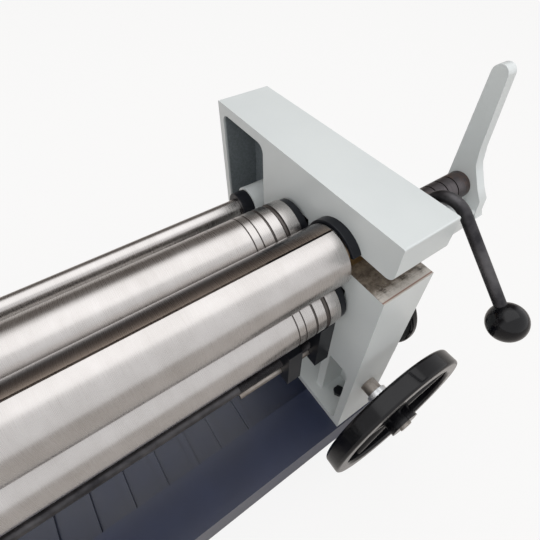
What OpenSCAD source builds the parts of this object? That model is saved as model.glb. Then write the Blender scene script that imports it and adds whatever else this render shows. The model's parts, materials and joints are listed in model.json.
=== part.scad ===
// Hand slip roll machine: three rolls between two cast end frames on a bench base.
// X runs along the rolls, Y away from the operator, Z up. The origin is on the bench,
// under the middle of the upper roll.

/* [Rolls] */
// Diameter of the three rolls
roll_d = 75; // [70:1:77]
// Working length of the rolls
roll_len = 1050; // [700:10:1300]
// Gap between the upper and lower roll
nip = 1.2; // [0.8:0.1:2]
// Height of the upper roll's axis over the bench
axis_z = 480; // [470:1:500]
// Distance of the rear roll behind the upper roll
rear_y = 78.2; // [76:0.2:82]
// Drop of the rear roll's axis below the upper one
rear_drop = 20.9; // [15:0.5:25]
// Radius of the bearing journals
journal_r = 16.5; // [14:0.5:17]
// Radius of the upper roll's tail
tail_r = 18; // [17:0.5:19]
// Length of the tail beyond the lock ring
tail_len = 81.5; // [70:0.5:100]
// Width of the seam groove along the upper roll
seam_w = 2.4; // [1:0.2:4]
// Depth of the seam groove
seam_deep = 5; // [2:0.5:8]

/* [End frames] */
// Thickness of each end frame
frame_t = 79; // [74:1:90]
// Distance from a roll's end to the frame
roll_gap = 14; // [12:1:20]
// Front face of the frames, ahead of the upper roll
front_y = 78.4; // [74:0.4:84]
// Rear face of the frames, behind the upper roll
back_y = 258; // [250:1:280]
// Height of the frames over the upper roll's axis
top_rise = 66.9; // [60:0.1:80]
// Height of the throat above the axis
throat_up = 19.4; // [19:0.1:24]
// Depth of the throat below the axis
throat_down = 17; // [17:0.5:20]
// Wall between the lower pocket and the faces
wall = 14; // [10:1:16]
// Depth of the rear web's recess
web_deep = 50; // [30:1:60]
// Height of the lower pocket's roof above the bench
pocket_top = 270; // [262:1:276]

/* [Base] */
// Height of the base
base_h = 80; // [60:1:90]
// Width of each base rail
rail_w = 90; // [84:1:96]
// Plate thickness of the base
plate = 5; // [4:0.5:8]
// Length that the rails stand out past the frames
rail_out = 42; // [36:1:60]
// Radius of the bench bolt holes
bench_hole_r = 7; // [5:0.5:9]

/* [Adjusters] */
// Height of the side handwheel's axis
side_z = 294; // [290:1:298]
// Height of the front handwheel's axis
wheel_z = 218; // [212:1:224]
// Radius of the front handwheels
wheel_r = 120; // [100:1:125]
// Width of the front handwheel's rim
wheel_w = 26; // [20:1:30]
// Radius of the side handwheel
side_r = 77; // [70:1:90]
// Width of the side handwheel's rim
side_w = 16; // [12:1:20]
// Travel of the rear roll
rear_travel = 48; // [30:1:48]
// Travel of the lower roll
lower_travel = 3; // [1:0.5:3]
// Travel of the lift wedges
wedge_travel = 20; // [14:1:20]

/* [Tie rods] */
// Radius of the tie rods
tie_r = 15; // [12:0.5:16]
// Distance of the tie rods behind the upper roll
tie_y = 195; // [190:1:200]
// Height of the upper tie rod
tie_z = 410; // [400:1:420]
// Height of the lower tie rod
low_tie_z = 150; // [140:1:170]

/* [Lock lever] */
// Radius of the lever's rod
lever_r = 7; // [6:0.5:8]
// Radius of the lever's ball
ball_r = 22.5; // [20:0.5:25]
// Bend radius of the lever
bend_r = 28; // [24:1:32]
// Straight length from the bend to the ball's centre
lever_len = 130; // [100:1:150]
// Angle of the lever's long leg below the horizontal
lever_angle = 42.5; // [38:0.5:46]

/* [Drive] */
// Module of the drive gears
gear_m = 3; // [2.5:0.25:3]
// Teeth of the gear on the lower roll
gear_teeth = 40; // [36:1:44]
// Teeth of the crank's pinion
pinion_teeth = 16; // [14:1:18]
// Face width of the gears
gear_w = 12; // [8:1:14]
// Radius of the crank
crank_r = 200; // [150:1:204]
// Length of the grip
grip_len = 110; // [90:1:130]

/* [Hidden] */
$fn = 96;
// Running clearance on radius, and clearance between faces
run = 0.05;
gap = 0.3;
// Overrun of a cut past a face
over = 1;
// Small edge break
edge = 1.5;

roll_r = roll_d / 2;
roll_x = roll_len / 2;
in_x = roll_x + roll_gap;
out_x = in_x + frame_t;
mid_x = in_x + frame_t / 2;
low_z = axis_z - roll_d - nip;
rear_z = axis_z - rear_drop;
top_z = axis_z + top_rise;
jaw_z = axis_z - throat_down;
roof_z = axis_z + throat_up;

// Wire grooves near the ends of the lower and rear rolls: distance and half width
groove_at = [19, 36, 51.8, 61.9];
groove_r = [3, 1.5, 0.8, 0.8];

// Collars at the roll ends
shield_t = 11.5;
shield_wall = 5;
shield_open = 32;
collar_r = roll_r + 3;
end_ring_low = 2;
end_ring_r = roll_r - end_ring_low;
end_ring_t = 9;

// Bearing blocks and the slots they slide in
block_w = 48;
block_h = 48;
block_in = 2;
low_slot_h = 60;
rear_block_w = 50;
slot_play = 2;
rear_slot_foot = rear_z - block_h / 2 - rear_travel - slot_play;
stem_w = 20;
keeper_t = 6;

// Lift wedges on the cross shaft
shaft_r = 8;
wedge_w = 26;
wedge_low = 14;
wedge_high = 16;
wedge_rise = lower_travel / wedge_travel;
wedge_play = 3.2;
wedge_room = wedge_low + wedge_high + wedge_play;

// Rear lift screw and its bevel gears
screw_r = 9;
bevel_teeth = 20;
bevel_r = 22.5;
bevel_face = 9;
bevel_tooth = 2.4;
bevel_hub = 13;
spindle_r = 10;

// Front handwheel
stub_r = 13;
stub_len = 18;
nut_r = 17;
nut_len = 12;
hub_r = 24;
spoke_count = 5;

// Side handwheel
side_out = 28;
side_rim_x = out_x + side_out;
flange_r = 26;
flange_t = 10;

// Lock ring
ring_r = 26;
neck_r = 14;
housing_r = 36;
ring_out = 6;
ring_x = out_x + ring_out;
housing_t = 22;
ring_len = 44;
flat_half = 18;
flat_gap = 0.5;
lever_out = 38;
lever_x = out_x + lever_out;
lever_arc_y = -47.5;
lever_arc_z = 20.5;
ring_play = 3;
tail_x = ring_x + ring_len + ring_play;
tail_end = tail_x + tail_len;

// Outer arm
arm_gap = 0.6;
arm_x = tail_end + arm_gap;
arm_t = 15;
shelf_half = 38;
shelf_up = 22;
shelf_thick = 23;
arm_root = 95;
arm_high = 150;

// Swivel bearing of the upper roll
ball_bearing_r = 34;
ball_bearing_w = 44;
swivel_bore = 20;
left_open_r = 32;
king_r = 6;

// Drive at the left end
drive_out = 22;
drive_x = out_x + drive_out;
pinion_z = low_z + gear_m * (gear_teeth + pinion_teeth) / 2;
stud_r = 10;
stud_lip = 4;
tooth_play = 0.25;
cover_t = 2;
cover_w = 46;
crank_t = 12;
crank_x = out_x + cover_w;

// Travel stop under the lower roll
stop_in = 76;
stop_x = in_x - stop_in;
stop_len = 23;
stop_half = 21;
stop_tall = 38;
guide_r = 6;
guide_drop = 24;
bracket_in = 25;
bracket_x = in_x - bracket_in;

// Base
tray_z = 8;
ridge_h = 6;
ridge_pitch = 60;
rail_lap = 2;
front_rail_y = -front_y - rail_lap;
rear_rail_y = back_y + rail_lap - rail_w;

// Helpers. rod_x and rod_y lay a cylinder along X or Y, plate_x raises an outline drawn
// in Y and Z along X, and plate_y one drawn in X and Z along Y.
module rod_x(x, y, z, r, len) {
    translate([x, y, z]) rotate([0, 90, 0]) cylinder(r = r, h = len);
}
module rod_y(x, y, z, r, len) {
    translate([x, y, z]) rotate([-90, 0, 0]) cylinder(r = r, h = len);
}
module plate_x(x, len) {
    translate([x, 0, 0]) rotate([90, 0, 90]) linear_extrude(len) children();
}
module plate_y(y, len) {
    translate([0, y + len, 0]) rotate([90, 0, 0]) linear_extrude(len) children();
}
module block(low, high) {
    translate(low) cube(high - low);
}
module round_rect(low, high, r) {
    translate([low.x + r, low.y]) square([high.x - low.x - 2 * r, high.y - low.y]);
    translate([low.x, low.y + r]) square([high.x - low.x, high.y - low.y - 2 * r]);
    for (x = [low.x + r, high.x - r], y = [low.y + r, high.y - r]) {
        translate([x, y]) circle(r = r);
    }
}
module both_ends() {
    children();
    mirror([1, 0, 0]) children();
}
module ring_x(x, y, z, outer, inner, len) {
    difference() {
        rod_x(x, y, z, outer, len);
        rod_x(x - over, y, z, inner, len + 2 * over);
    }
}

// Base
rail_x = out_x + rail_out;
module rail(y) {
    difference() {
        block([-rail_x, y, 0], [rail_x, y + rail_w, base_h]);
        block([-rail_x - over, y + plate, plate], [rail_x + over, y + rail_w - plate, base_h - plate]);
        for (x = [-1, 1]) {
            translate([x * bench_x, y + rail_w / 2, -over]) cylinder(r = bench_hole_r, h = plate + 2 * over);
            translate([x * bench_x, y + rail_w / 2, base_h - plate - over])
                cylinder(r = 2 * bench_hole_r, h = plate + 2 * over);
        }
        for (x = [-1, 1], fy = frame_bolt_y) {
            translate([x * mid_x, fy, base_h - plate - over]) cylinder(r = frame_bolt_r, h = plate + 2 * over);
        }
    }
}
bench_x = rail_x - rail_out / 2;
module front_rail() color("#2C3350") rail(front_rail_y);
module rear_rail() color("#2C3350") rail(rear_rail_y);
module drip_tray() color("#2C3350") {
    low_y = front_rail_y + rail_w;
    block([-out_x, low_y, tray_z], [out_x, rear_rail_y, tray_z + plate]);
    for (x = [-in_x + ridge_pitch : ridge_pitch : in_x - ridge_pitch]) {
        block([x - ridge_h, low_y, tray_z + plate], [x + ridge_h, rear_rail_y, tray_z + plate + ridge_h]);
    }
}

// End frames. The casting is drawn for the right end; the left one is its mirror image.
corner_r = 12;
outline_r = 2;
nose_r = 10;
tie_boss_wall = 11.5;
tie_boss_r = tie_r + tie_boss_wall;
tie_screw_r = tie_r - 4;
tie_nut_wall = 3;
tie_collar_wall = 8.5;
back_wall = 10.8;
bolt_in = 6;
module frame_outline() {
    difference() {
        round_rect([-front_y, base_h], [back_y, top_z], outline_r);
        round_rect([rear_y - rear_block_w / 2, rear_slot_foot],
            [rear_y + rear_block_w / 2, rear_z + block_h / 2 + edge], edge);
        round_rect([-block_w / 2, low_z - low_slot_h / 2 - lower_travel],
            [block_w / 2, low_z + block_h / 2 + edge], edge);
        translate([-stem_w / 2 - gap, side_z]) square([stem_w + 2 * gap, low_z - side_z]);
        translate([-wedge_w / 2 - gap, side_z - wedge_low - gap])
            square([wedge_w + 2 * gap, wedge_room]);
    }
}
module throat_outline() {
    translate([-front_y - over, jaw_z]) square([front_y + over + throat_back, throat_up + throat_down]);
    difference() {
        translate([-front_y - over, roof_z - over]) square([nose_r + over, nose_r + over]);
        translate([-front_y + nose_r, roof_z + nose_r]) circle(r = nose_r);
    }
}
throat_back = 20;
pocket_back = 135;
rib_t = 15;
module frame_casting() {
    difference() {
        plate_x(in_x, frame_t) frame_outline();
        plate_x(in_x - over, frame_t - wall + over)
            round_rect([-front_y + wall, base_h + wall], [pocket_back, pocket_top], corner_r);
        difference() {
            plate_x(in_x - over, web_deep + over)
                round_rect([pocket_back + rib_t, base_h + wall], [back_y - back_wall, top_z - wall], corner_r);
            rod_x(in_x - over, tie_y, tie_z, tie_boss_r, web_deep + 2 * over);
            rod_x(in_x - over, tie_y, low_tie_z, tie_boss_r, web_deep + 2 * over);
        }
        for (z = [tie_z, low_tie_z]) rod_x(in_x - over, tie_y, z, tie_screw_r, frame_t + 2 * over);
        translate([mid_x, rear_y, pocket_top - over]) cylinder(r = screw_r + run, h = rear_slot_foot - pocket_top + 2 * over);
        rod_y(mid_x, -front_y - over, wheel_z, spindle_r + run, wall + 2 * over);
        for (y = frame_bolt_y) translate([mid_x, y, base_h - over]) cylinder(r = frame_bolt_r, h = wall + 2 * over);
    }
    spindle_boss();
}
frame_bolt_r = 7;
frame_bolt_y = [-front_y + rail_w / 2, back_y - rail_w / 2 - bolt_in];
// Inner end bearing of the handwheel spindle: an arch rising from the pocket's outer wall
boss_half = 20;
boss_t = 16;
module spindle_boss() {
    difference() {
        block([mid_x - boss_half, spindle_boss_y, base_h + wall - edge],
            [out_x - wall + edge, spindle_boss_y + boss_t, wheel_z]);
        rod_y(mid_x, spindle_boss_y - over, wheel_z, spindle_r + run, boss_t + 2 * over);
    }
    difference() {
        union() {
            rod_y(mid_x, spindle_boss_y, wheel_z, boss_half, boss_t);
            block([mid_x, spindle_boss_y, wheel_z], [out_x - wall + edge, spindle_boss_y + boss_t, wheel_z + boss_half]);
        }
        rod_y(mid_x, spindle_boss_y - over, wheel_z, spindle_r + run, boss_t + 2 * over);
    }
}
spindle_boss_y = -10;
module right_frame() color("#C6CCCF") difference() {
    frame_casting();
    plate_x(in_x - over, frame_t + 2 * over) throat_outline();
}
module left_frame() color("#C6CCCF") mirror([1, 0, 0]) difference() {
    frame_casting();
    rod_x(in_x - over, 0, axis_z, left_open_r, frame_t + 2 * over);
    translate([mid_x, 0, axis_z]) cylinder(r = king_r + run, h = top_rise + over);
    translate([mid_x, 0, axis_z]) sphere(r = ball_bearing_r + run);
}
head_r = 10;
head_h = 9;
module frame_bolts() color("#2A2A2A") both_ends() for (y = frame_bolt_y) {
    translate([mid_x, y, base_h - plate]) cylinder(r = frame_bolt_r - gap, h = plate + wall);
    translate([mid_x, y, base_h + wall]) cylinder(r = head_r, h = head_h, $fn = 6);
}
module tie_rods() color("#8C8F92") for (z = [tie_z, low_tie_z]) {
    rod_x(-in_x, tie_y, z, tie_r, 2 * in_x);
    rod_x(-out_x - keeper_t, tie_y, z, tie_screw_r - run, 2 * out_x + 2 * keeper_t);
    both_ends() rod_x(out_x, tie_y, z, tie_r + tie_nut_wall, head_h);
}
tie_collar_w = 18;
module tie_collars() color("#202224") both_ends() for (z = [tie_z, low_tie_z]) {
    ring_x(in_x - tie_collar_w, tie_y, z, tie_r + tie_collar_wall, tie_r + run, tie_collar_w);
}

// Keeper plates that close the bearing slots on the outer faces
low_plate_half = 34;
rear_plate_half = 33;
keeper_screw_r = 4;
keeper_inset = 7;
keeper_lap = [12, 16];
keeper_cap = [14, 16];
keeper_low = [side_z + wedge_room + keeper_lap[0], rear_slot_foot - keeper_lap[1]];
keeper_high = [low_z + block_h / 2 + keeper_cap[0], rear_z + block_h / 2 + keeper_cap[1]];
keeper_y = [0, rear_y];
keeper_half = [low_plate_half, rear_plate_half];
module keeper_plates() color("#B4BABE") both_ends() difference() {
    for (i = [0, 1]) {
        plate_x(out_x, keeper_t) round_rect([keeper_y[i] - keeper_half[i], keeper_low[i]],
            [keeper_y[i] + keeper_half[i], keeper_high[i]], keeper_inset);
    }
    rod_x(out_x - over, 0, low_z - lower_travel / 2, journal_r + lower_travel, keeper_t + 2 * over);
    for (i = [0, 1]) keeper_holes(i) rod_x(out_x - over, 0, 0, keeper_screw_r, keeper_t + 2 * over);
}
module keeper_holes(i) {
    for (s = [-1, 1], z = [keeper_low[i] + keeper_inset, keeper_high[i] - keeper_inset]) {
        translate([0, keeper_y[i] + s * (keeper_half[i] - keeper_inset + edge), z]) children();
    }
}
module keeper_screws() color("#2A2A2A") both_ends() for (i = [0, 1]) keeper_holes(i) {
    rod_x(out_x, 0, 0, keeper_screw_r - gap, keeper_t);
    rod_x(out_x + keeper_t, 0, 0, keeper_screw_r + 1.5, keeper_screw_r);
}

// Outer arm: a foot on the right frame, a shelf under the tail and an upright past its end
foot_t = 14;
foot_low = axis_z - arm_root;
foot_top = axis_z - housing_r - edge;
foot_out = 28;
arm_bolt_in = 13;
bolt_rim = 4;
foot_front = -low_plate_half - foot_out;
arm_bolt_r = 6;
arm_bolt_y = foot_front + arm_bolt_in;
arm_bolt_z = [foot_low + arm_bolt_in, foot_top - arm_bolt_in];
plate_room = keeper_t + keeper_screw_r + edge;
module arm_shelf() {
    plate_y(-shelf_half, 2 * shelf_half) polygon([
        [out_x, foot_low], [out_x, foot_top],
        [tail_x + edge, foot_top], [tail_x + 3 * edge, axis_z - shelf_up],
        [arm_x + arm_t, axis_z - shelf_up],
        [arm_x + arm_t, axis_z - shelf_up - shelf_thick / 2],
        [arm_x + arm_t / 2, axis_z - shelf_up - shelf_thick],
        [tail_x + tail_len / 3, axis_z - shelf_up - 1.1 * shelf_thick],
        [(out_x + tail_x) / 2, axis_z - arm_root * 0.8],
        [out_x + foot_t, foot_low]]);
    block([out_x, foot_front, foot_low], [out_x + foot_t, -shelf_half + edge, foot_top]);
}
// Upright, in shares of its height above the shelf and of half its width: front edge
front_rise_shares = [-0.14, -0.09, 0.03, 0.12, 0.25, 0.31, 0.45, 0.75, 1];
front_y_shares = [-1.12, -1.02, -0.98, -0.72, -0.42, -0.3, -0.2, -0.12, -0.05];
arm_head_share = 0.275;
module arm_upright() {
    head_z = axis_z + arm_high - shelf_up / 2;
    plate_x(arm_x, arm_t) {
        polygon(concat(
            [for (i = [0 : len(front_rise_shares) - 1]) [front_y_shares[i] * shelf_half,
                axis_z + front_rise_shares[i] * arm_high - shelf_up / 2]],
            [[shelf_half / 2, head_z], [shelf_half / 2, axis_z - shelf_up],
             [shelf_half, axis_z - shelf_up - shelf_thick / 2]]));
        translate([shelf_half * (1 / 2 - arm_head_share), head_z]) circle(r = shelf_half * arm_head_share);
    }
}
module outer_arm() color("#C6CCCF") difference() {
    union() {
        arm_shelf();
        arm_upright();
    }
    block([out_x - over, -low_plate_half - edge, foot_low - over],
        [out_x + plate_room, low_plate_half + edge, keeper_high[0] + edge]);
    block([out_x - over, rear_y - rear_plate_half - edge, foot_low - over],
        [out_x + plate_room, shelf_half + over, keeper_high[1] + edge]);
    for (z = arm_bolt_z) rod_x(out_x - over, arm_bolt_y, z, arm_bolt_r, foot_t + 2 * over);
}
module arm_bolts() color("#2A2A2A") for (z = arm_bolt_z) {
    rod_x(out_x, arm_bolt_y, z, arm_bolt_r - gap, foot_t);
    rod_x(out_x + foot_t, arm_bolt_y, z, arm_bolt_r + bolt_rim, arm_bolt_r);
}

// The housing is open to the front. The ring's flats pass the opening in the photographed
// pose, and a quarter turn of the lever holds its round part in the housing.
foot_up = 15;
flat_len = out_x + housing_t + ring_play - ring_x;
lever_sleeve = 3;
module lock_housing() color("#3A3D40") difference() {
    rod_x(out_x, 0, axis_z, housing_r, housing_t);
    rod_x(out_x - over, 0, axis_z, ring_r + run, housing_t + 2 * over);
    block([out_x - over, -housing_r - over, axis_z - flat_half - flat_gap],
        [out_x + housing_t + over, 0, axis_z + flat_half + flat_gap]);
}
module lock_ring() color("#3E3A36") {
    difference() {
        union() {
            intersection() {
                rod_x(ring_x, 0, axis_z, ring_r, flat_len + edge);
                block([ring_x - over, -ring_r - over, axis_z - flat_half],
                    [ring_x + flat_len + 2 * edge, ring_r + over, axis_z + flat_half]);
            }
            rod_x(ring_x + flat_len, 0, axis_z, ring_r, ring_len - flat_len);
        }
        rod_x(ring_x - over, 0, axis_z, neck_r + run, ring_len + 2 * over);
    }
    translate([lever_x, lever_arc_y + bend_r, axis_z + foot_up + edge])
        cylinder(r = lever_r + lever_sleeve, h = lever_arc_z - foot_up);
}
lever_deep = ball_r / 2;
module lever_leg() {
    translate([lever_x, lever_arc_y - bend_r * sin(lever_angle),
        axis_z + lever_arc_z + bend_r * cos(lever_angle)]) rotate([90 + lever_angle, 0, 0]) children();
}
module lever_rod() color("#55504A") {
    translate([lever_x, lever_arc_y, axis_z + lever_arc_z]) rotate([90, 0, 90])
        rotate_extrude(angle = 90 + lever_angle) translate([bend_r, 0]) circle(r = lever_r, $fn = 32);
    translate([lever_x, lever_arc_y + bend_r, axis_z + foot_up + 2 * edge])
        cylinder(r = lever_r, h = lever_arc_z - foot_up - 2 * edge, $fn = 32);
    lever_leg() cylinder(r = lever_r, h = lever_len - lever_deep, $fn = 32);
}
module lever_ball() color("#111111") lever_leg() difference() {
    translate([0, 0, lever_len]) sphere(r = ball_r);
    cylinder(r = lever_r, h = lever_len - lever_deep);
}

// Upper roll with its swivel bearing, bush and collar
tail_groove_at = [23.8, 41.8, 59.8, 77.8];
tail_groove_r = 1;
left_journal = mid_x + ball_bearing_w / 2;
module ring_groove(x, z, y, r, wire) {
    translate([x, y, z]) rotate([0, 90, 0]) rotate_extrude() translate([r, 0]) circle(r = wire);
}
module upper_roll() color("#A9A5A0") difference() {
    union() {
        rod_x(-roll_x, 0, axis_z, roll_r, roll_len);
        rod_x(-left_journal, 0, axis_z, swivel_bore, left_journal - roll_x);
        rod_x(roll_x, 0, axis_z, journal_r, frame_t + roll_gap - edge);
        rod_x(roll_x, 0, axis_z, neck_r, tail_x - roll_x);
        rod_x(tail_x, 0, axis_z, tail_r, tail_len);
    }
    block([-roll_x - over, -seam_w / 2, axis_z + roll_r - seam_deep],
        [roll_x + over, seam_w / 2, axis_z + roll_r + over]);
    for (g = tail_groove_at) ring_groove(tail_end - g, axis_z, 0, tail_r, tail_groove_r);
}
// A shield fixed to the right frame covers the gap above the journal. It is open to the front,
// where the roll swings out.
module upper_collar() color("#141414") difference() {
    ring_x(in_x - shield_t, 0, axis_z, collar_r, collar_r - shield_wall, shield_t);
    plate_x(in_x - shield_t - over, shield_t + 2 * over) polygon([[0, axis_z],
        [-roll_d, axis_z + roll_d * tan(shield_open)], [-roll_d, axis_z - roll_d],
        [roll_d, axis_z - roll_d], [roll_d, axis_z]]);
}
module swivel_bearing() color("#8A7A55") difference() {
    union() {
        intersection() {
            translate([-mid_x, 0, axis_z]) sphere(r = ball_bearing_r);
            rod_x(-mid_x - ball_bearing_w / 2, 0, axis_z, ball_bearing_r + over, ball_bearing_w);
        }
        translate([-mid_x, 0, axis_z + swivel_bore]) cylinder(r = king_r, h = top_rise - swivel_bore - edge);
    }
    rod_x(-out_x, 0, axis_z, swivel_bore + run, frame_t);
}
bush_half = 18.5;
module roll_bush() color("#8A7A55") difference() {
    block([in_x + block_in, -bush_half, jaw_z + gap], [out_x - block_in - edge, bush_half, roof_z - gap]);
    rod_x(in_x, 0, axis_z, journal_r + run, frame_t);
}

// Lower roll, its blocks and end rings. The blocks stand on the lift wedges.
module ground_roll(y, z) {
    difference() {
        rod_x(-roll_x, y, z, roll_r, roll_len);
        for (i = [0 : len(groove_at) - 1]) {
            both_ends() ring_groove(roll_x - groove_at[i], z, y, roll_r, groove_r[i]);
        }
    }
}
gear_end = drive_x + gear_w + edge;
module lower_roll() color("#A9A5A0") {
    ground_roll(0, low_z);
    rod_x(roll_x, 0, low_z, journal_r, frame_t + roll_gap);
    rod_x(-gear_end, 0, low_z, journal_r, gear_end - roll_x);
}
module end_rings(y, z) both_ends() ring_x(roll_x + edge, y, z, end_ring_r, journal_r, end_ring_t);
module lower_collars() color("#141414") end_rings(0, low_z);
module rear_collars() color("#141414") end_rings(rear_y, rear_z);
module bearing_block(y, z, width) {
    difference() {
        block([in_x + block_in, y - width / 2 + gap, z - block_h / 2],
            [out_x - gap, y + width / 2 - gap, z + block_h / 2]);
        rod_x(in_x, y, z, journal_r + run, frame_t);
    }
}
// The stem's foot and the wedge's top share one sloping plane, a gap apart. Both wedges
// move the same way along the shaft, so the left one slopes against its mirrored X.
stem_len = 30;
stem_in = 28;
stem_x = in_x + stem_in;
wedge_len = stem_len + wedge_travel;
function slope_of(side) = side == 0 ? wedge_rise : -wedge_rise;
function wedge_from(side) = side == 0 ? stem_x - wedge_travel : stem_x;
function ramp(side, x) = side_z + wedge_high + slope_of(side) * (x - stem_x - stem_len / 2);
module lower_blocks() color("#4A4D50") for (side = [0, 1]) mirror([side, 0, 0]) {
    bearing_block(0, low_z, block_w);
    plate_y(-stem_w / 2, stem_w) polygon([
        [stem_x, ramp(side, stem_x) + gap], [stem_x + stem_len, ramp(side, stem_x + stem_len) + gap],
        [stem_x + stem_len, low_z - block_h / 2], [stem_x, low_z - block_h / 2]]);
}
module lift_wedges() color("#6E7174") for (side = [0, 1]) mirror([side, 0, 0]) difference() {
    plate_y(-wedge_w / 2, wedge_w) polygon([
        [wedge_from(side), side_z - wedge_low], [wedge_from(side) + wedge_len, side_z - wedge_low],
        [wedge_from(side) + wedge_len, ramp(side, wedge_from(side) + wedge_len)],
        [wedge_from(side), ramp(side, wedge_from(side))]]);
    rod_x(in_x, 0, side_z, shaft_r + run, frame_t);
}

// Cross shaft: threads where the wedges and the stop run, and the side handwheel
thread_pitch = 2.5;
thread_deep = 1.2;
side_end_out = 4;
side_end = side_rim_x + side_w + side_end_out;
function thread(from, to, r) = [for (x = [from : thread_pitch : to - thread_pitch])
    each [[r, x], [r - thread_deep, x + thread_pitch / 2]]];
module cross_shaft() color("#77736C") translate([0, 0, side_z]) rotate([0, 90, 0]) rotate_extrude()
    polygon(concat([[0, -out_x - flange_t]], [[shaft_r, -out_x - flange_t]],
        thread(-out_x + 2 * over, -in_x, shaft_r), thread(stop_x - 3 * stop_len, bracket_x, shaft_r),
        thread(in_x + block_in, out_x - 2 * over, shaft_r), [[shaft_r, out_x], [shaft_r, side_end], [0, side_end]]));
module shaft_flange() color("#3A3D40") both_ends()
    ring_x(out_x, 0, side_z, flange_r, shaft_r + run, flange_t);
module stop_body(x, low, high, len) {
    difference() {
        block([x, -stop_half, low], [x + len, stop_half, high]);
        rod_x(x - over, 0, side_z, shaft_r + run, len + 2 * over);
        rod_x(x - over, 0, side_z - guide_drop, guide_r + run, len + 2 * over);
    }
}
module stop_block() color("#17181A") stop_body(stop_x, side_z - stop_tall, side_z + stop_tall, stop_len);
module shaft_bracket() color("#17181A")
    stop_body(bracket_x, side_z - stop_tall, side_z + bracket_up, in_x - bracket_x);
bracket_up = 60;
module stop_guide() color("#9A9DA0")
    rod_x(stop_x - 3 * stop_len, 0, side_z - guide_drop, guide_r, in_x - stop_x + 3 * stop_len);
side_hub_r = 17;
side_spoke_r = 5;
module spoked_wheel(radius, width, hub, hub_len, bore, count, spoke, rim, corner) {
    difference() {
        union() {
            rotate_extrude() translate([radius - rim, -width / 2]) round_rect([0, 0], [rim, width], corner);
            translate([0, 0, -hub_len / 2]) cylinder(r = hub, h = hub_len);
            for (i = [0 : count - 1]) rotate([0, 90, (i + 1 / 4) * 360 / count]) cylinder(r = spoke, h = radius - rim / 2);
        }
        translate([0, 0, -hub_len / 2 - over]) cylinder(r = bore, h = hub_len + 2 * over);
    }
}
side_rim = 13.5;
side_corner = side_w / 2.8;
side_hub_len = 26;
side_mid_x = side_rim_x + side_w / 2;
module side_wheel() color("#111111") translate([side_mid_x, 0, side_z]) rotate([0, 90, 0])
    spoked_wheel(side_r, side_w, side_hub_r, side_hub_len, shaft_r, 3, side_spoke_r, side_rim, side_corner);
module side_nut() color("#B8BBBE") translate([side_mid_x + side_hub_len / 2, 0, side_z])
    rotate([0, 90, 0]) difference() {
        cylinder(r = shaft_r + side_nut_wall, h = thread_nut_h, $fn = 6);
        translate([0, 0, -over]) cylinder(r = shaft_r, h = thread_nut_h + 2 * over);
    }
thread_nut_h = 7;
side_nut_wall = 4;

// Rear roll, its blocks and screws. The bevel nuts turn, the screws rise with the blocks.
screw_foot = wheel_z + bevel_r - bevel_face - 2;
module rear_roll() color("#A9A5A0") {
    ground_roll(rear_y, rear_z);
    both_ends() rod_x(roll_x, rear_y, rear_z, journal_r, frame_t + roll_gap - edge);
}
module rear_blocks() color("#4A4D50") both_ends() bearing_block(rear_y, rear_z, rear_block_w);
module rear_screws() color("#77736C") both_ends() translate([mid_x, rear_y, 0]) rotate_extrude()
    polygon(concat([[0, screw_foot]], thread(screw_foot, pocket_top, screw_r),
        [[screw_r, pocket_top], [screw_r, rear_z - block_h / 2], [0, rear_z - block_h / 2]]));

// Bevel teeth taper towards the point where both axes cross. The root and the tip keep
// clear of the mating gear, and shift turns the teeth by half a pitch.
bevel_root = bevel_r - 1.3 * bevel_tooth;
bevel_tip = bevel_r + bevel_tooth;
bevel_half = 180 / bevel_teeth * 0.42;
module bevel_gear(shift) {
    taper = (bevel_r - bevel_face) / bevel_r;
    linear_extrude(bevel_face, scale = taper) union() {
        circle(r = bevel_root);
        for (i = [0 : bevel_teeth - 1]) rotate([0, 0, (i + shift) * 360 / bevel_teeth]) polygon([
            [0, 0], [bevel_root * cos(bevel_half * 1.35), -bevel_root * sin(bevel_half * 1.35)],
            [bevel_tip * cos(bevel_half * 0.55), -bevel_tip * sin(bevel_half * 0.55)],
            [bevel_tip * cos(bevel_half * 0.55), bevel_tip * sin(bevel_half * 0.55)],
            [bevel_root * cos(bevel_half * 1.35), bevel_root * sin(bevel_half * 1.35)]]);
    }
}
module bevel_nut() {
    difference() {
        union() {
            translate([mid_x, rear_y, wheel_z + bevel_r]) mirror([0, 0, 1]) bevel_gear(0.5);
            translate([mid_x, rear_y, wheel_z + bevel_r]) cylinder(r = bevel_hub, h = pocket_top - gap - wheel_z - bevel_r);
        }
        translate([mid_x, rear_y, wheel_z]) cylinder(r = screw_r + run, h = pocket_top - wheel_z);
    }
}
module bevel_pinion() difference() {
    translate([mid_x, rear_y - bevel_r, wheel_z]) rotate([-90, 0, 0]) bevel_gear(0);
    rod_y(mid_x, rear_y - bevel_r - over, wheel_z, spindle_r, bevel_face + 2 * over);
}

// Front handwheels with their spindles. The rear roll's height is set by them.
wheel_out = 41.8;
wheel_mid = front_y + wheel_out + wheel_w / 2;
nut_end = front_y + stub_len + gap + nut_len;
wheel_rim = 22;
wheel_corner = 4;
wheel_spoke_r = 8;
module spindle_bushes() color("#6F665C") both_ends() difference() {
    rod_y(mid_x, -front_y - stub_len, wheel_z, stub_r, stub_len);
    rod_y(mid_x, -front_y - stub_len - over, wheel_z, spindle_r + run, stub_len + 2 * over);
}
module front_wheel() translate([mid_x, -wheel_mid, wheel_z]) rotate([90, 0, 0])
    spoked_wheel(wheel_r, wheel_w, hub_r, 2 * (wheel_mid - nut_end), spindle_r, spoke_count, wheel_spoke_r, wheel_rim, wheel_corner);
module wheel_nut() difference() {
    rod_y(mid_x, -nut_end, wheel_z, nut_r, nut_len);
    rod_y(mid_x, -nut_end - over, wheel_z, spindle_r, nut_len + 2 * over);
}
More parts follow.
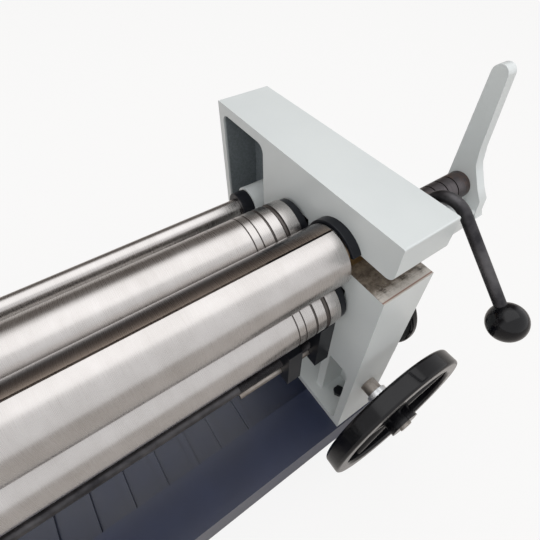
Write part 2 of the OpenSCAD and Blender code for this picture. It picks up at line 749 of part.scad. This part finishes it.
module spindle()
    rod_y(mid_x, nut_end - 2 * wheel_mid - 2 * edge, wheel_z, spindle_r, 2 * wheel_mid + 2 * edge - nut_end + rear_y - bevel_r + bevel_face);
module right_wheel() color("#111111") front_wheel();
module right_wheel_nut() color("#B8BBBE") wheel_nut();
module right_spindle() color("#77736C") spindle();
module right_pinion() color("#55585B") bevel_pinion();
module right_bevel_nut() color("#55585B") bevel_nut();
module left_wheel() color("#111111") mirror([1, 0, 0]) front_wheel();
module left_wheel_nut() color("#B8BBBE") mirror([1, 0, 0]) wheel_nut();
module left_spindle() color("#77736C") mirror([1, 0, 0]) spindle();
module left_pinion() color("#55585B") mirror([1, 0, 0]) bevel_pinion();
module left_bevel_nut() color("#55585B") mirror([1, 0, 0]) bevel_nut();

// Drive gears with involute teeth
pressure = 20;
function involute(a) = tan(a) * 180 / PI - a;
function tooth_half(n, r) = 90 / n - tooth_play * 180 / PI / (gear_m * n)
    + involute(pressure) - involute(acos(min(1, gear_m * n * cos(pressure) / 2 / r)));
tooth_steps = 6;
module gear_outline(n) {
    root = gear_m * (n - 2.5) / 2;
    tip = gear_m * (n + 2) / 2;
    start = max(root, gear_m * n * cos(pressure) / 2);
    radii = [for (i = [0 : tooth_steps]) start + (tip - start) * i / tooth_steps];
    flank = concat([[root, tooth_half(n, start)]], [for (r = radii) [r, tooth_half(n, r)]]);
    last = len(flank) - 1;
    polygon([for (i = [0 : n - 1]) each concat(
        [for (p = flank) p.x * [cos(i * 360 / n - p.y), sin(i * 360 / n - p.y)]],
        [for (k = [last : -1 : 0]) flank[k].x * [cos(i * 360 / n + flank[k].y), sin(i * 360 / n + flank[k].y)]])]);
}
module drive_gear() color("#55585B") difference() {
    translate([0, 0, low_z]) plate_x(-drive_x - gear_w, gear_w) rotate(90) gear_outline(gear_teeth);
    rod_x(-gear_end, 0, low_z, journal_r, gear_w + 2 * over);
}
crank_hub_r = 16;
module crank_pinion() color("#55585B") difference() {
    union() {
        translate([0, 0, pinion_z]) plate_x(-drive_x - gear_w, gear_w)
            rotate(180 / pinion_teeth - 90) gear_outline(pinion_teeth);
        rod_x(-crank_x - crank_t, 0, pinion_z, crank_hub_r, crank_x + crank_t - drive_x - gear_w);
    }
    rod_x(-crank_x - crank_t - over, 0, pinion_z, stud_r + run, crank_x + crank_t - drive_x + 2 * over);
}
gear_plate_out = 11;
gear_plate_x = out_x + gear_plate_out;
gear_plate_t = 5;
plate_front = 70;
plate_rear = 75;
plate_under = 73;
plate_over = 57;
plate_corner = 10;
plate_low = [-plate_front, low_z - plate_under];
plate_high = [plate_rear, pinion_z + plate_over];
post_in = 14;
post_r = 7;
post_at = [for (y = [plate_low.x + post_in, plate_high.x - post_in],
    z = [plate_low.y + post_in, plate_high.y - post_in]) [y, z]];
module gear_plate() color("#C6CCCF") {
    difference() {
        plate_x(-gear_plate_x - gear_plate_t, gear_plate_t) round_rect(plate_low, plate_high, plate_corner);
        rod_x(-gear_plate_x - gear_plate_t - over, 0, low_z - lower_travel / 2, journal_r + lower_travel, gear_plate_t + 2 * over);
    }
    for (p = post_at) rod_x(-gear_plate_x, p.x, p.y, post_r, gear_plate_x - out_x);
    rod_x(-crank_x - crank_t - 3 * edge, 0, pinion_z, stud_r, crank_x + crank_t + 3 * edge - gear_plate_x);
    ring_x(-drive_x + gap, 0, pinion_z, stud_r + stud_lip, stud_r - edge, drive_x - gap - gear_plate_x - gear_plate_t);
}
cover_in = gear_plate_x + gear_plate_t;
cover_clear = 4;
cover_end = crank_x - cover_clear;
module gear_cover() color("#C6CCCF") difference() {
    plate_x(-cover_end, cover_end - cover_in) round_rect(plate_low, plate_high, plate_corner);
    plate_x(-cover_end + cover_t, cover_end - cover_in)
        round_rect([plate_low.x + cover_t, plate_low.y + cover_t], [plate_high.x - cover_t, plate_high.y - cover_t],
            plate_corner - cover_t);
    rod_x(-cover_end - over, 0, pinion_z, crank_hub_r + edge, cover_t + 2 * over);
}
crank_eye_r = 24;
crank_tip_r = 15;
crank_bar = 22;
grip_z = pinion_z - crank_r;
pin_r = 6;
pin_lip = 3;
module crank_arm() color("#2A2C2E") difference() {
    plate_x(-crank_x - crank_t, crank_t) {
        translate([0, pinion_z]) circle(r = crank_eye_r);
        translate([0, grip_z]) circle(r = crank_tip_r);
        translate([-crank_bar / 2, grip_z]) square([crank_bar, crank_r]);
    }
    rod_x(-crank_x - crank_t - over, 0, pinion_z, crank_hub_r, crank_t + 2 * over);
    rod_x(-crank_x - crank_t - over, 0, grip_z, pin_r, crank_t + 2 * over);
}
grip_x = crank_x + crank_t + edge;
grip_r = 15;
module grip_pin() color("#8C8F92") {
    rod_x(-grip_x - grip_len - edge, 0, grip_z, pin_r, grip_x + grip_len + edge - crank_x);
    rod_x(-grip_x - grip_len - 4 * edge, 0, grip_z, pin_r + pin_lip, 3 * edge);
}
module crank_grip() color("#111111") translate([-grip_x - grip_len, 0, grip_z]) rotate([0, 90, 0]) difference() {
    union() {
        cylinder(r1 = grip_r, r2 = grip_r - 2 * edge, h = grip_len);
        translate([0, 0, grip_len / 3]) sphere(r = grip_r + edge);
    }
    translate([0, 0, -grip_len]) cylinder(r = pin_r + run, h = 3 * grip_len);
}

front_rail();
rear_rail();
drip_tray();
left_frame();
right_frame();
frame_bolts();
tie_rods();
tie_collars();
keeper_plates();
keeper_screws();
outer_arm();
arm_bolts();
lock_housing();
shaft_flange();
shaft_bracket();
stop_guide();
spindle_bushes();
gear_plate();
gear_cover();
swivel_bearing();
roll_bush();
upper_roll();
upper_collar();
lock_ring();
lever_rod();
lever_ball();
lower_blocks();
lower_roll();
lower_collars();
drive_gear();
rear_blocks();
rear_screws();
rear_roll();
rear_collars();
right_wheel();
right_wheel_nut();
right_spindle();
right_pinion();
right_bevel_nut();
left_wheel();
left_wheel_nut();
left_spindle();
left_pinion();
left_bevel_nut();
side_wheel();
cross_shaft();
side_nut();
lift_wedges();
stop_block();
crank_pinion();
crank_arm();
grip_pin();
crank_grip();
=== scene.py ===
"""Looks of the slip roll machine: finishes, softened castings, and the photographed view."""
import json
import math

import bmesh
import bpy
from mathutils import Matrix, Vector


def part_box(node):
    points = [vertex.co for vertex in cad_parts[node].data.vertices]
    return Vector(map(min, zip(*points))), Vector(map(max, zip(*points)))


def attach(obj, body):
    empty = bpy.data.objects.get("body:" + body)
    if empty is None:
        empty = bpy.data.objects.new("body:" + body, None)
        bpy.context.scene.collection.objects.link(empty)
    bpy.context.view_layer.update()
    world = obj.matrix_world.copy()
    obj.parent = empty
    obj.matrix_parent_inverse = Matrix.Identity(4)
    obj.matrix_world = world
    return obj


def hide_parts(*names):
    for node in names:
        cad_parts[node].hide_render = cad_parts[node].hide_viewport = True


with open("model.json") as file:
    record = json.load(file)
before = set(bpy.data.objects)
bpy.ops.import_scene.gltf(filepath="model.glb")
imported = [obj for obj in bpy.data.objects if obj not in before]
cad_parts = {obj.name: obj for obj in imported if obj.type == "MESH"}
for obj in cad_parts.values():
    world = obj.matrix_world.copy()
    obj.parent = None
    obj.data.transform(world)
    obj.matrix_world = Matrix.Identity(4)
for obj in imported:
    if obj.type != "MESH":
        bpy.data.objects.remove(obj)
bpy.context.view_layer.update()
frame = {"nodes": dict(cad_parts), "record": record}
nodes = frame["nodes"]
scene = bpy.context.scene
MM = 0.001


# Camera, solved from the photograph's vanishing directions. Pixels count in the photograph.
PHOTO_SIDE = 540.0
FOCAL_PIXELS = 383.6335
CENTRE_PIXELS = (280.0704, 266.8976)
CAMERA_PLACE = (310.2 * MM, -200.87 * MM, 793.91 * MM)
TURN = math.radians(-36.573482)
TILT = math.radians(49.364867)
LEAN = math.radians(1.534329)
SENSOR_MM = 36.0
NEAREST = 10 * MM


def camera_axes():
    """Right, up and back axes of the camera, from its turn, tilt and sideways lean."""
    level = math.cos(TILT)
    ahead = Vector((-math.sin(TURN) * level, math.cos(TURN) * level, -math.sin(TILT)))
    right = Vector((math.cos(TURN), math.sin(TURN), 0.0))
    up = right.cross(ahead)
    leaned_right = right * math.cos(LEAN) + up * math.sin(LEAN)
    leaned_up = up * math.cos(LEAN) - right * math.sin(LEAN)
    return leaned_right, leaned_up, -ahead


def add_camera():
    data = bpy.data.cameras.new("photo_camera")
    data.sensor_width = SENSOR_MM
    data.lens = SENSOR_MM * FOCAL_PIXELS / PHOTO_SIDE
    data.shift_x = -(CENTRE_PIXELS[0] - PHOTO_SIDE / 2) / PHOTO_SIDE
    data.shift_y = (CENTRE_PIXELS[1] - PHOTO_SIDE / 2) / PHOTO_SIDE
    data.clip_start = NEAREST
    camera = bpy.data.objects.new("photo_camera", data)
    scene.collection.objects.link(camera)
    turn = Matrix(camera_axes()).transposed().to_4x4()
    camera.matrix_world = Matrix.Translation(CAMERA_PLACE) @ turn
    scene.camera = camera


add_camera()


# Shader maths on wrapped sockets
class Wire:
    """A node socket that takes part in ordinary sums."""

    def __init__(self, drawing, socket):
        self.drawing = drawing
        self.socket = socket

    def math(self, operation, *terms):
        return self.drawing.add("ShaderNodeMath", {"operation": operation}, dict(enumerate(terms)))

    def __add__(self, other):
        return self.math("ADD", self, other)

    def __sub__(self, other):
        return self.math("SUBTRACT", self, other)

    def __rsub__(self, other):
        return self.math("SUBTRACT", other, self)

    def __mul__(self, other):
        return self.math("MULTIPLY", self, other)

    __radd__ = __add__
    __rmul__ = __mul__

    def above(self, limit):
        return self.math("GREATER_THAN", self, limit)

    def below(self, limit):
        return self.math("LESS_THAN", self, limit)

    def power(self, other):
        return self.math("POWER", self, other)

    def abs(self):
        return self.math("ABSOLUTE", self)

    def ramp(self, low, high):
        """0 at low, 1 at high, and held outside them."""
        return self.drawing.add("ShaderNodeMapRange", {"clamp": True}, {0: self, 1: low, 2: high})


class Drawing:
    """A node tree, where add makes every node."""

    def __init__(self, tree):
        self.tree = tree

    def add(self, kind, settings=None, sockets=None, out=0):
        """A node of a kind, with its settings made first, then its sockets set or joined."""
        node = self.tree.nodes.new(kind)
        for name, value in (settings or {}).items():
            setattr(node, name, value)
        for key, value in (sockets or {}).items():
            self.join(value, node.inputs[key])
        return Wire(self, node.outputs[out])

    def join(self, value, socket):
        if isinstance(value, Wire):
            self.tree.links.new(value.socket, socket)
        else:
            socket.default_value = value

    def split(self, vector):
        """The x, y and z of a vector."""
        parts = self.add("ShaderNodeSeparateXYZ", sockets={0: vector})
        return [Wire(self, output) for output in parts.socket.node.outputs]

    def mix(self, share, low, high):
        """The colour low where the share is 0, and high where it is 1."""
        low, high = (tone if isinstance(tone, Wire) else (*tone, 1.0) for tone in (low, high))
        sockets = {"Factor": share, 6: low, 7: high}
        return self.add("ShaderNodeMix", {"data_type": "RGBA"}, sockets, out=2)

    def to_camera(self):
        """1 where the camera looks straight at a surface, and 0 in reflections and bounced light."""
        return self.add("ShaderNodeLightPath", out="Is Camera Ray")


class Finish(Drawing):
    """One procedural material, drawn on the piece's own coordinates."""

    def __init__(self, name, color, roughness, metallic=0.0, **constants):
        self.material = bpy.data.materials.new(name)
        self.material.use_nodes = True
        super().__init__(self.material.node_tree)
        self.shader = self.tree.nodes["Principled BSDF"]
        self.shader.inputs["Base Color"].default_value = (*color, 1.0)
        self.shader.inputs["Roughness"].default_value = roughness
        self.shader.inputs["Metallic"].default_value = metallic
        for socket, value in constants.items():
            self.shader.inputs[socket.replace("_", " ")].default_value = value

    def place(self):
        """The piece's own coordinates, in metres, as one vector."""
        return self.add("ShaderNodeTexCoord", out="Object")

    def radius(self, across, upward):
        """Distance from an axis, from the two coordinates across it."""
        return (across * across + upward * upward).power(0.5)

    def vector(self, x, y, z):
        return self.add("ShaderNodeCombineXYZ", sockets={0: x, 1: y, 2: z})

    def noise(self, vector, scale, detail=3.0, rough=0.5):
        sockets = {"Vector": vector, "Scale": scale, "Detail": detail, "Roughness": rough}
        return self.add("ShaderNodeTexNoise", {"noise_dimensions": "3D"}, sockets)

    def paint(self, **values):
        """Joins what changes over the surface: Base_Color, Roughness and Coat_Weight."""
        for socket, value in values.items():
            self.join(value, self.shader.inputs[socket.replace("_", " ")])

    def bump(self, height, strength, distance):
        sockets = {"Strength": strength, "Distance": distance, "Height": height}
        self.join(self.add("ShaderNodeBump", sockets=sockets), self.shader.inputs["Normal"])


# Places read from the frame
def middle(low, high):
    return (low + high) / 2


def cross_middle(node):
    """The middle of a node's box, across the machine."""
    low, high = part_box(node)
    return middle(low.y, high.y), middle(low.z, high.z)


frame_low, frame_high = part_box("right_frame")
INNER_FACE = frame_low.x
OUTER_FACE = frame_high.x
JAW_FRONT = frame_low.y
RECESS_FRONT = 150 * MM
RECESS_BACK = frame_high.y - 9 * MM
RECESS_TOP = frame_high.z - 13 * MM

bush_low, bush_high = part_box("roll_bush")
JAW_TOP = bush_low.z - 0.3 * MM
THROAT_BACK = bush_high.y + 1.6 * MM
WORN_DEPTH = 24 * MM

tie_low, tie_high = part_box("tie_collars")
TIE_Y = middle(tie_low.y, tie_high.y)
TIE_Z = tie_high.z - 23.5 * MM
BOSS_RADIUS = 26.5 * MM

ROLL_AXES = [cross_middle(node) for node in ("upper_roll", "lower_collars", "rear_collars")]
AXIS_Z = ROLL_AXES[0][1]
ROLL_RADIUS = 37.5 * MM
ROLL_END = 525 * MM
GROOVED_LENGTH = 80 * MM
SEAM_HALF = 1.2 * MM
REFLECTED_BAND_BACK = 28 * MM
TAIL_RADIUS = 18 * MM

# Depths of the finishes' relief
ENAMEL_PEEL = 0.12 * MM
SHEET_PEEL = 0.06 * MM
CASTING_PEEL = 0.18 * MM
GRINDING_DEPTH = 0.02 * MM
GRAIN_DEPTH = 0.05 * MM
PORE_DEPTH = 0.04 * MM

# Colours
GREY = (0.625, 0.655, 0.650)
GREY_DARK = (0.565, 0.597, 0.597)
# Painted shade for the recess behind the rolls, mottled like sand
RECESS_SHADE_DARK = (0.130, 0.150, 0.160)
RECESS_SHADE_LIGHT = (0.205, 0.232, 0.246)
GREASE_DARK = (0.045, 0.036, 0.028)
GREASE_LIGHT = (0.20, 0.165, 0.13)
WORN_IRON = (0.50, 0.47, 0.43)
RUST = (0.20, 0.085, 0.055)
# Painted reflection of a dark wall on the upper roll, brown near its seam and blue-black further back
REFLECTED_BAND_BROWN = (0.27, 0.215, 0.175)
REFLECTED_BAND_BLUE = (0.085, 0.085, 0.095)
# Painted shade down in the rolls' wire grooves
GROOVE_SHADE = (0.05, 0.04, 0.035)
TAIL_DARK = (0.070, 0.064, 0.070)
TAIL_LIGHT = (0.150, 0.135, 0.138)
TAIL_BROWN = (0.23, 0.13, 0.085)
# Painted shade for the tail's ring grooves
TAIL_GROOVE_SHADE = (0.012, 0.011, 0.011)


# Finishes. A noise's scale counts its blots in a metre.
def enamel(name, color, dark, peel=ENAMEL_PEEL, roughness=0.34):
    """Gloss enamel: orange peel and faint clouding."""
    finish = Finish(name, color, roughness, Coat_Roughness=0.2)
    place = finish.place()
    cloud = finish.noise(place, 9.0, 4.0)
    fine = finish.noise(place, 420.0, 2.0)
    coarse = finish.noise(place, 90.0)
    finish.paint(
        Base_Color=finish.mix(cloud.ramp(0.35, 0.75), color, dark),
        Roughness=fine * 0.12 + (roughness - 0.04),
        Coat_Weight=cloud.ramp(0.2, 0.8) * 0.35,
    )
    finish.bump(fine * 0.5 + coarse, 0.5, peel)
    return finish


def shaded_recess_share(finish, x, y, z):
    """1 in the recess behind the rolls, apart from the tie rod's boss: where painted shade goes."""
    inset = (x.abs() - INNER_FACE).ramp(1.5 * MM, 4.0 * MM) * x.abs().below(OUTER_FACE - 2 * MM)
    from_tie = finish.radius(y - TIE_Y, z - TIE_Z)
    off_boss = from_tie.ramp(BOSS_RADIUS + 0.3 * MM, BOSS_RADIUS + 1.5 * MM)
    behind = (y - RECESS_FRONT).ramp(1.0 * MM, 4.0 * MM) * y.below(RECESS_BACK)
    return inset * off_boss * behind * z.below(RECESS_TOP)


def jaw_share(x, y, z):
    """1 on the machined top of the right frame's lower jaw."""
    level = z.above(JAW_TOP - 0.9 * MM) * z.below(JAW_TOP + 3 * MM)
    across = x.above(INNER_FACE - MM) * x.below(OUTER_FACE + MM)
    return level * across * y.below(THROAT_BACK)


def casting(name, color, dark):
    """The end frames' enamel: the recess behind the rolls is painted dark as shade, with a rough sandy
    relief and no coat, and the machined lower jaw is bare greasy iron with a rust line along its front
    edge."""
    finish = Finish(name, color, 0.36, Coat_Roughness=0.25)
    place = finish.place()
    x, y, z = finish.split(place)
    cloud = finish.noise(place, 7.0, 4.0)
    fine = finish.noise(place, 500.0, 2.0)
    sand = finish.noise(place, 330.0, 5.0, 0.7)
    coarse = finish.noise(place, 60.0)
    # Painted shade: the recess behind the rolls turns dark and sandy.
    shaded_recess = shaded_recess_share(finish, x, y, z)
    recess_shade_tone = finish.mix(sand.ramp(0.35, 0.7), RECESS_SHADE_DARK, RECESS_SHADE_LIGHT)
    painted = finish.mix(cloud.ramp(0.3, 0.8), color, dark)
    painted = finish.mix(shaded_recess, painted, recess_shade_tone)

    bare = jaw_share(x, y, z)
    grease = finish.noise(place, 95.0, 6.0, 0.75)
    scratch = finish.noise(finish.vector(x * 60.0, y * 900.0, z), 1.0, 2.0)
    worn = (JAW_FRONT + WORN_DEPTH - y).ramp(0.0, WORN_DEPTH - 2 * MM)
    worn = worn + (grease - 0.5) * 1.3 + (scratch - 0.5) * 0.6
    iron = finish.mix(grease.ramp(0.36, 0.60), GREASE_DARK, GREASE_LIGHT)
    iron = finish.mix(worn.ramp(0.25, 0.85), iron, WORN_IRON)
    from_front = y - JAW_FRONT
    rim = from_front.ramp(1.0 * MM, 1.5 * MM) * from_front.ramp(3.2 * MM, 2.7 * MM)
    iron = finish.mix(rim * 0.8, iron, RUST)
    finish.paint(
        Base_Color=finish.mix(bare, painted, iron),
        Roughness=fine * 0.10 + (shaded_recess * 0.2 + 0.31) + bare * (grease * 0.3 - 0.06),
        Coat_Weight=(1 - shaded_recess) * (1 - bare) * 0.3,
    )
    relief = fine * 0.25 + coarse * 0.8 + sand * shaded_recess * 6.0 + grease * bare * 3.0
    finish.bump(relief, 0.5, CASTING_PEEL)
    return finish


def groove_share(finish, x, y, z):
    """1 down in the wire grooves at the rolls' ends, which get painted shade."""
    groove = 0.0
    for axis_y, axis_z in ROLL_AXES:
        away = finish.radius(y - axis_y, z - axis_z)
        groove = groove + away.above(ROLL_RADIUS - 12 * MM) * away.below(ROLL_RADIUS - 0.12 * MM)
    return groove * x.abs().above(ROLL_END - GROOVED_LENGTH)


def ground(name, light, dark, roughness=0.26):
    """Ground roll steel: fine lines round the roll, faint oil, painted shade in the wire grooves, a
    painted dark reflection band behind the upper roll's seam, and the burnished tail with painted shade
    in its grooves."""
    finish = Finish(name, light, roughness, 1.0)
    place = finish.place()
    x, y, z = finish.split(place)
    lines = finish.noise(finish.vector(x * 3200.0, y * 40.0, z * 40.0), 1.0, 2.0)
    wide = finish.noise(finish.vector(x * 60.0, y * 14.0, z * 14.0), 1.0, 4.0)
    oil = finish.noise(place, 22.0, 5.0, 0.6)
    tone = lines * 0.25 + wide * 0.25 + oil * 0.5
    color = finish.mix(tone.ramp(0.30, 0.70), dark, light)

    inside = x.abs().below(ROLL_END - 0.4 * MM)
    groove = groove_share(finish, x, y, z) * inside
    # Painted reflection: a dark band on top of the upper roll, behind its seam.
    behind = (y - SEAM_HALF).ramp(-0.3 * MM, 0.1 * MM) * (REFLECTED_BAND_BACK - y).ramp(0.0, 10 * MM)
    painted_reflection = behind * z.above(AXIS_Z) * inside
    reflection_tone = finish.mix(y.ramp(3 * MM, 17 * MM), REFLECTED_BAND_BROWN, REFLECTED_BAND_BLUE)
    color = finish.mix(painted_reflection * 0.85, color, reflection_tone)
    # Painted shade down in the wire grooves.
    color = finish.mix(groove * 0.85, color, GROOVE_SHADE)

    tail = x.above(OUTER_FACE)
    burnt = finish.mix(lines.ramp(0.3, 0.7), TAIL_DARK, TAIL_LIGHT)
    burnt = finish.mix(oil.ramp(0.52, 0.68) * 0.7, burnt, TAIL_BROWN)
    # Painted shade: near black wherever the tail lies inside its outer radius, down in its ring
    # grooves.
    tail_groove_shade = finish.radius(y, z - AXIS_Z).below(TAIL_RADIUS - 0.15 * MM)
    burnt = finish.mix(tail_groove_shade, burnt, TAIL_GROOVE_SHADE)
    wear = lines * 0.12 + oil * 0.08 + (roughness - 0.08)
    finish.paint(
        Base_Color=finish.mix(tail, color, burnt),
        Roughness=wear + tail * 0.14 + groove * 0.2,
    )
    finish.bump(lines * 0.7 + wide * 0.3, 0.25, GRINDING_DEPTH)
    return finish


def steel(name, light, dark, roughness):
    """Machined or burnished steel with oil stains and handling marks."""
    finish = Finish(name, light, roughness, 1.0)
    place = finish.place()
    stain = finish.noise(place, 32.0, 5.0, 0.6)
    grain = finish.noise(place, 1280.0, 2.0)
    finish.paint(
        Base_Color=finish.mix(stain.ramp(0.35, 0.68), dark, light),
        Roughness=stain * 0.22 + grain * 0.08 + (roughness - 0.14),
    )
    finish.bump(grain * 0.6 + stain * 0.4, 0.3, GRAIN_DEPTH)
    return finish


def black(name, tint, roughness, coat):
    """Black plastic or lacquer with faint dust."""
    finish = Finish(name, tint, roughness, Coat_Roughness=0.06, Specular_IOR_Level=0.2)
    place = finish.place()
    dust = finish.noise(place, 60.0, 5.0, 0.6)
    pores = finish.noise(place, 900.0, 2.0)
    dusty = tuple(channel * 2.2 + 0.006 for channel in tint)
    finish.paint(
        Base_Color=finish.mix(dust.ramp(0.5, 0.8) * 0.3, tint, dusty),
        Roughness=dust * 0.10 + (roughness - 0.04),
        Coat_Weight=(1 - dust * 0.3) * coat,
    )
    finish.bump(pores, 0.3, PORE_DEPTH)
    return finish


FINISHES = {
    "cast_paint": casting("cast_enamel", GREY, GREY_DARK),
    "sheet_paint": enamel("sheet_enamel", GREY, GREY_DARK, SHEET_PEEL, 0.3),
    "base_paint": enamel("base_enamel", (0.020, 0.027, 0.062), (0.013, 0.018, 0.042)),
    "ground_steel": ground("ground_steel", (0.55, 0.530, 0.520), (0.41, 0.390, 0.375)),
    "burnished_steel": steel("burnished_steel", (0.105, 0.102, 0.106), (0.032, 0.031, 0.034), 0.42),
    "satin_black": black("satin_black", (0.008, 0.009, 0.012), 0.36, 0.1),
    "gloss_black": black("gloss_black", (0.003, 0.003, 0.004), 0.16, 0.2),
    "zinc": steel("zinc_plate", (0.78, 0.79, 0.80), (0.60, 0.61, 0.62), 0.3),
    "machine_steel": steel("machined_steel", (0.42, 0.39, 0.36), (0.17, 0.145, 0.125), 0.38),
    "bronze": steel("bearing_bronze", (0.52, 0.36, 0.17), (0.30, 0.19, 0.08), 0.34),
    "black_iron": steel("blackened_iron", (0.075, 0.075, 0.08), (0.03, 0.03, 0.032), 0.5),
}
slot_of = {part["node"]: part["material_slot"] for part in frame["record"]["subparts"]}
bodies = frame["record"]["behaviour"]["bodies"]
body_of = {node: body for body, members in bodies.items() for node in members}


def dress(piece, slot):
    piece.data.materials.clear()
    piece.data.materials.append(FINISHES[slot].material)


for node_name, node_object in nodes.items():
    dress(node_object, slot_of[node_name])


# Pieces made in Blender
SAME_POINT = 0.02 * MM
FLAT_ANGLE = math.radians(0.6)
EDGE_ANGLE = math.radians(40.0)
EDGE_STEPS = 3


def add_piece(name, mesh, node):
    """A piece that rides with a node's body and takes its slot and finish."""
    piece = bpy.data.objects.new(name, mesh)
    scene.collection.objects.link(piece)
    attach(piece, body_of[node])
    dress(piece, slot_of[node])
    return piece


def clean_copy(mesh):
    """A copy of a mesh with its flat faces in one piece each."""
    copy = mesh.copy()
    shape = bmesh.new()
    shape.from_mesh(copy)
    bmesh.ops.remove_doubles(shape, verts=shape.verts, dist=SAME_POINT)
    bmesh.ops.dissolve_limit(
        shape, angle_limit=FLAT_ANGLE, verts=shape.verts, edges=shape.edges, delimit={"NORMAL"})
    shape.to_mesh(copy)
    shape.free()
    copy.shade_smooth()
    return copy


def soften(node, width):
    """Puts a copy of a node in its place, with its edges rounded as a real part's are."""
    piece = add_piece(f"{node}_soft", clean_copy(nodes[node].data), node)
    bevel = piece.modifiers.new("edge", "BEVEL")
    bevel.width = width
    bevel.segments = EDGE_STEPS
    bevel.limit_method = "ANGLE"
    bevel.angle_limit = EDGE_ANGLE
    bevel.use_clamp_overlap = True
    flat = piece.modifiers.new("flat", "WEIGHTED_NORMAL")
    flat.weight = 100
    flat.keep_sharp = False
    scene_graph = bpy.context.evaluated_depsgraph_get()
    rounded = bpy.data.meshes.new_from_object(piece.evaluated_get(scene_graph))
    piece.modifiers.clear()
    piece.data = rounded
    dress(piece, slot_of[node])
    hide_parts(node)


# Widths of the rounded edges in millimetres
EDGES = {
    "right_frame": 1.4, "left_frame": 1.4, "outer_arm": 2.0, "stop_block": 1.0, "shaft_bracket": 1.0,
    "front_rail": 1.5, "rear_rail": 1.5, "lock_housing": 0.8, "keeper_plates": 0.8, "gear_plate": 0.8,
    "gear_cover": 0.6, "crank_arm": 1.5, "upper_collar": 0.6, "lower_collars": 0.6, "rear_collars": 0.6,
    "tie_collars": 0.8, "keeper_screws": 0.5, "frame_bolts": 0.5, "arm_bolts": 0.5, "tie_rods": 0.6,
    "right_wheel_nut": 0.8, "left_wheel_nut": 0.8, "side_nut": 0.5, "lower_blocks": 0.8,
    "rear_blocks": 0.8,
}
for edge_node, edge_width in EDGES.items():
    soften(edge_node, edge_width * MM)


# Stage: white floor with a faint shadow, and even light. Lamp places are in metres.
FLOOR_HALF = 12.0
FLOOR_GREY = (0.60, 0.57, 0.54)
FLOOR_GLOW = 0.85
SKY_BRIGHT = 1.12
WALL_DIM = 0.16
LAMP_PLACE = (0.5, 0.5, 2.6)
LAMP_AIM = (0.4, 0.1, 0.4)
LAMP_SIZE = (4.0, 3.0)
LAMP_POWER = 30.0


def white_floor():
    """Near white to the camera, and a warm grey in reflections."""
    finish = Finish("pale_floor", FLOOR_GREY, 0.9)
    share = finish.to_camera() * FLOOR_GLOW
    grey = Wire(finish, finish.shader.outputs[0])
    white = finish.add("ShaderNodeEmission")
    blend = finish.add("ShaderNodeMixShader", sockets={0: share, 1: grey, 2: white})
    finish.join(blend, finish.tree.nodes["Material Output"].inputs[0])
    return finish.material


def add_floor():
    mesh = bpy.data.meshes.new("floor")
    turns = ((-1, -1), (1, -1), (1, 1), (-1, 1))
    mesh.from_pydata([(x * FLOOR_HALF, y * FLOOR_HALF, 0.0) for x, y in turns], [], [(0, 1, 2, 3)])
    floor = bpy.data.objects.new("floor", mesh)
    scene.collection.objects.link(floor)
    floor.data.materials.append(white_floor())


def add_lamp():
    data = bpy.data.lights.new("overhead", "AREA")
    data.shape = "RECTANGLE"
    data.size, data.size_y = LAMP_SIZE
    data.energy = LAMP_POWER
    lamp = bpy.data.objects.new("overhead", data)
    scene.collection.objects.link(lamp)
    lamp.location = LAMP_PLACE
    backward = Vector(LAMP_PLACE) - Vector(LAMP_AIM)
    lamp.rotation_euler = backward.to_track_quat("Z", "Y").to_euler()


def add_world():
    """White surroundings overhead and in front, and a warm dark wall low behind the machine. The
    camera itself sees plain white."""
    world = bpy.data.worlds.new("studio")
    scene.world = world
    world.use_nodes = True
    drawing = Drawing(world.node_tree)
    direction = drawing.split(drawing.add("ShaderNodeTexCoord", out="Generated"))
    wall = direction[1].ramp(0.05, 0.30) * direction[2].ramp(0.84, 0.74)
    bright = (SKY_BRIGHT, SKY_BRIGHT, SKY_BRIGHT * 1.01)
    dim = (WALL_DIM, WALL_DIM * 0.88, WALL_DIM * 0.80)
    light = world.node_tree.nodes["Background"]
    drawing.join(drawing.mix(wall, bright, dim), light.inputs["Color"])
    white = drawing.add("ShaderNodeBackground", sockets={"Color": (1.0, 1.0, 1.0, 1.0)})
    sockets = {0: drawing.to_camera(), 1: Wire(drawing, light.outputs[0]), 2: white}
    blend = drawing.add("ShaderNodeMixShader", sockets=sockets)
    drawing.join(blend, world.node_tree.nodes["World Output"].inputs[0])


add_floor()
add_world()
add_lamp()
scene.view_settings.view_transform = "Standard"
